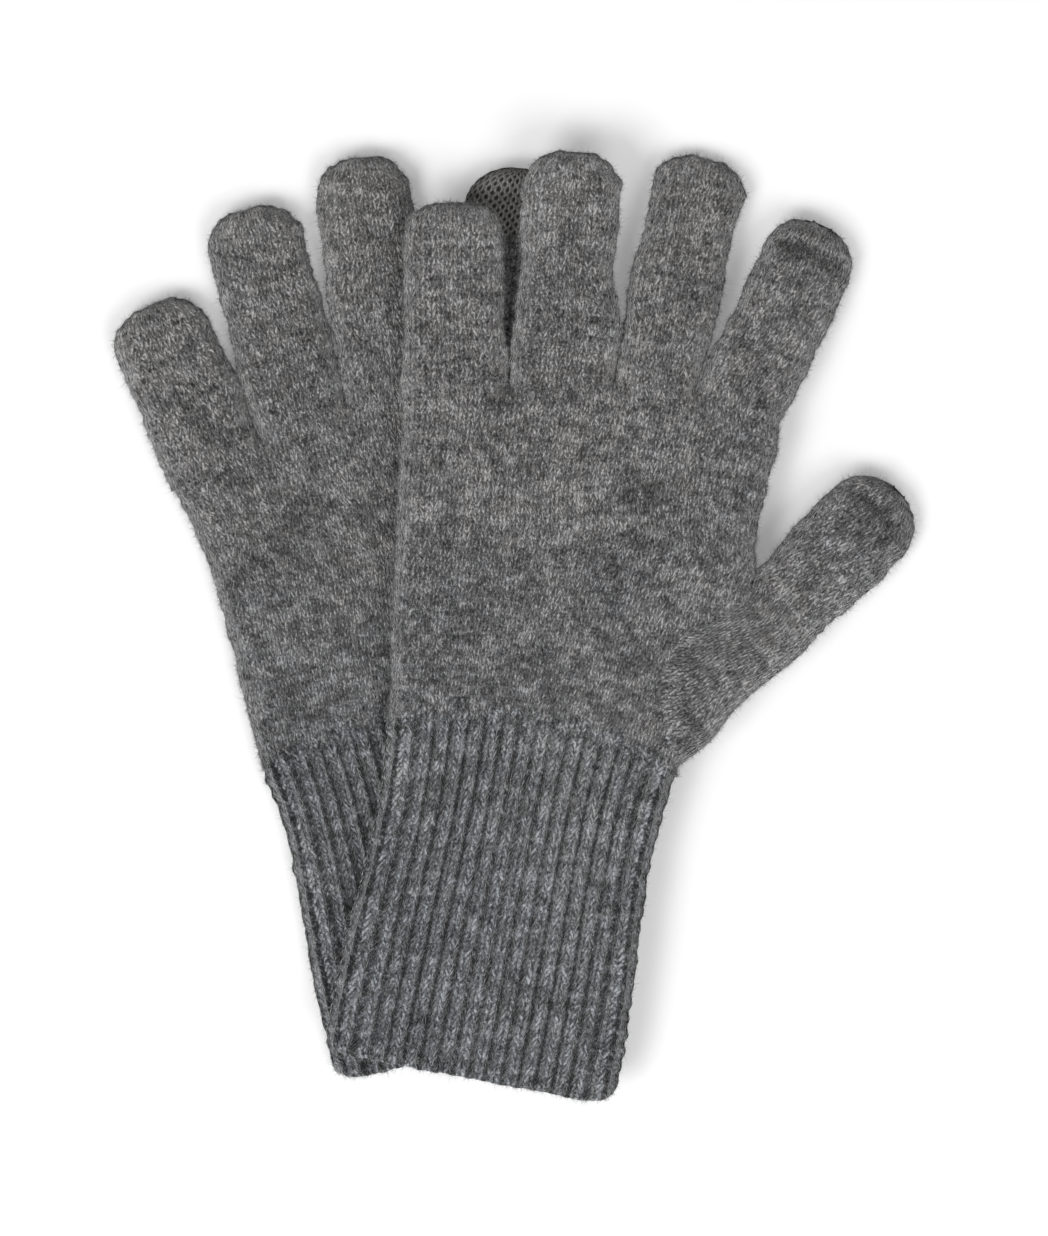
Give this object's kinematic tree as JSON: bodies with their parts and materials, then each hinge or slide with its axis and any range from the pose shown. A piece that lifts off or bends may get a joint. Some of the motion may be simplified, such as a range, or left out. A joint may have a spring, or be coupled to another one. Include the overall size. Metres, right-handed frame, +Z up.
{
  "type": "touchscreen gloves",
  "caption": "Knitted full-finger gloves laid one over the other, with long ribbed cuffs and touch-knit ends on the thumbs and index fingers.",
  "frame": {"origin": "middle of the pair's bounding box, on the surface the gloves lie on", "axes": "+X to the right, towards the upper glove's thumb; +Y from the hems towards the fingertips; +Z up"},
  "size_m": [0.207, 0.2448, 0.019],
  "materials": {
    "plain_knit": "matte",
    "rib_knit": "matte",
    "touch_knit": "matte"
  },
  "bodies": {
    "right_hand": {"right_hand": "plain_knit"},
    "right_cuff": {"right_cuff": "rib_knit"},
    "right_thumb": {"right_thumb": "plain_knit", "right_thumb_touch_tip": "touch_knit"},
    "right_index": {"right_index": "plain_knit", "right_index_touch_tip": "touch_knit"},
    "right_middle": {"right_middle": "plain_knit"},
    "right_ring": {"right_ring": "plain_knit"},
    "right_little": {"right_little": "plain_knit"},
    "left_hand": {"left_hand": "plain_knit"},
    "left_cuff": {"left_cuff": "rib_knit"},
    "left_thumb": {"left_thumb": "plain_knit", "left_thumb_touch_tip": "touch_knit"},
    "left_index": {"left_index": "plain_knit", "left_index_touch_tip": "touch_knit"},
    "left_middle": {"left_middle": "plain_knit"},
    "left_ring": {"left_ring": "plain_knit"},
    "left_little": {"left_little": "plain_knit"}
  },
  "joints": [
    {"name": "left_glove_lift", "type": "slide", "parent": "right_hand", "child": "left_hand", "axis": [0, 0, 1], "range_m": [0, 0.15]},
    {"name": "right_thumb_fold", "type": "hinge", "parent": "right_hand", "child": "right_thumb", "pos_m": [0.02025, 0.02379, 0], "axis": [0.9563, -0.2924, 0], "range_deg": [-60, 0]},
    {"name": "right_index_fold", "type": "hinge", "parent": "right_hand", "child": "right_index", "pos_m": [-0.00965, 0.06381, 0], "axis": [0.9945, -0.1045, 0], "range_deg": [-60, 0]},
    {"name": "right_middle_fold", "type": "hinge", "parent": "right_hand", "child": "right_middle", "pos_m": [-0.03285, 0.06098, 0], "axis": [0.9925, 0.1219, 0], "range_deg": [-60, 0]},
    {"name": "right_ring_fold", "type": "hinge", "parent": "right_hand", "child": "right_ring", "pos_m": [-0.05464, 0.0521, 0.0092], "axis": [0.9703, 0.2419, 0], "range_deg": [0, 80]},
    {"name": "right_little_fold", "type": "hinge", "parent": "right_hand", "child": "right_little", "pos_m": [-0.07803, 0.04322, 0.0092], "axis": [0.91, 0.4147, 0], "range_deg": [0, 80]},
    {"name": "right_wrist_fold", "type": "hinge", "parent": "right_hand", "child": "right_cuff", "pos_m": [-0.03033, -0.02277, 0], "axis": [-0.9455, -0.3256, 0], "range_deg": [-60, 0]},
    {"name": "left_thumb_fold", "type": "hinge", "parent": "left_hand", "child": "left_thumb", "pos_m": [0.07016, 0.00581, 0.01508], "axis": [0.6974, -0.7072, -0.1167], "range_deg": [0, 80]},
    {"name": "left_index_fold", "type": "hinge", "parent": "left_hand", "child": "left_index", "pos_m": [0.0589, 0.05671, 0.01696], "axis": [0.9031, -0.4021, -0.1511], "range_deg": [0, 80]},
    {"name": "left_middle_fold", "type": "hinge", "parent": "left_hand", "child": "left_middle", "pos_m": [0.03593, 0.06329, 0.0189], "axis": [0.9732, -0.23, 0], "range_deg": [0, 80]},
    {"name": "left_ring_fold", "type": "hinge", "parent": "left_hand", "child": "left_ring", "pos_m": [0.01155, 0.06261, 0.0189], "axis": [0.9979, -0.0645, 0], "range_deg": [0, 80]},
    {"name": "left_little_fold", "type": "hinge", "parent": "left_hand", "child": "left_little", "pos_m": [-0.01533, 0.06137, 0.0189], "axis": [0.9999, 0.0105, 0], "range_deg": [0, 80]},
    {"name": "left_wrist_fold", "type": "hinge", "parent": "left_hand", "child": "left_cuff", "pos_m": [0.00477, -0.02847, 0.0189], "axis": [-0.9781, 0.2079, 0], "range_deg": [0, 80]}
  ]
}
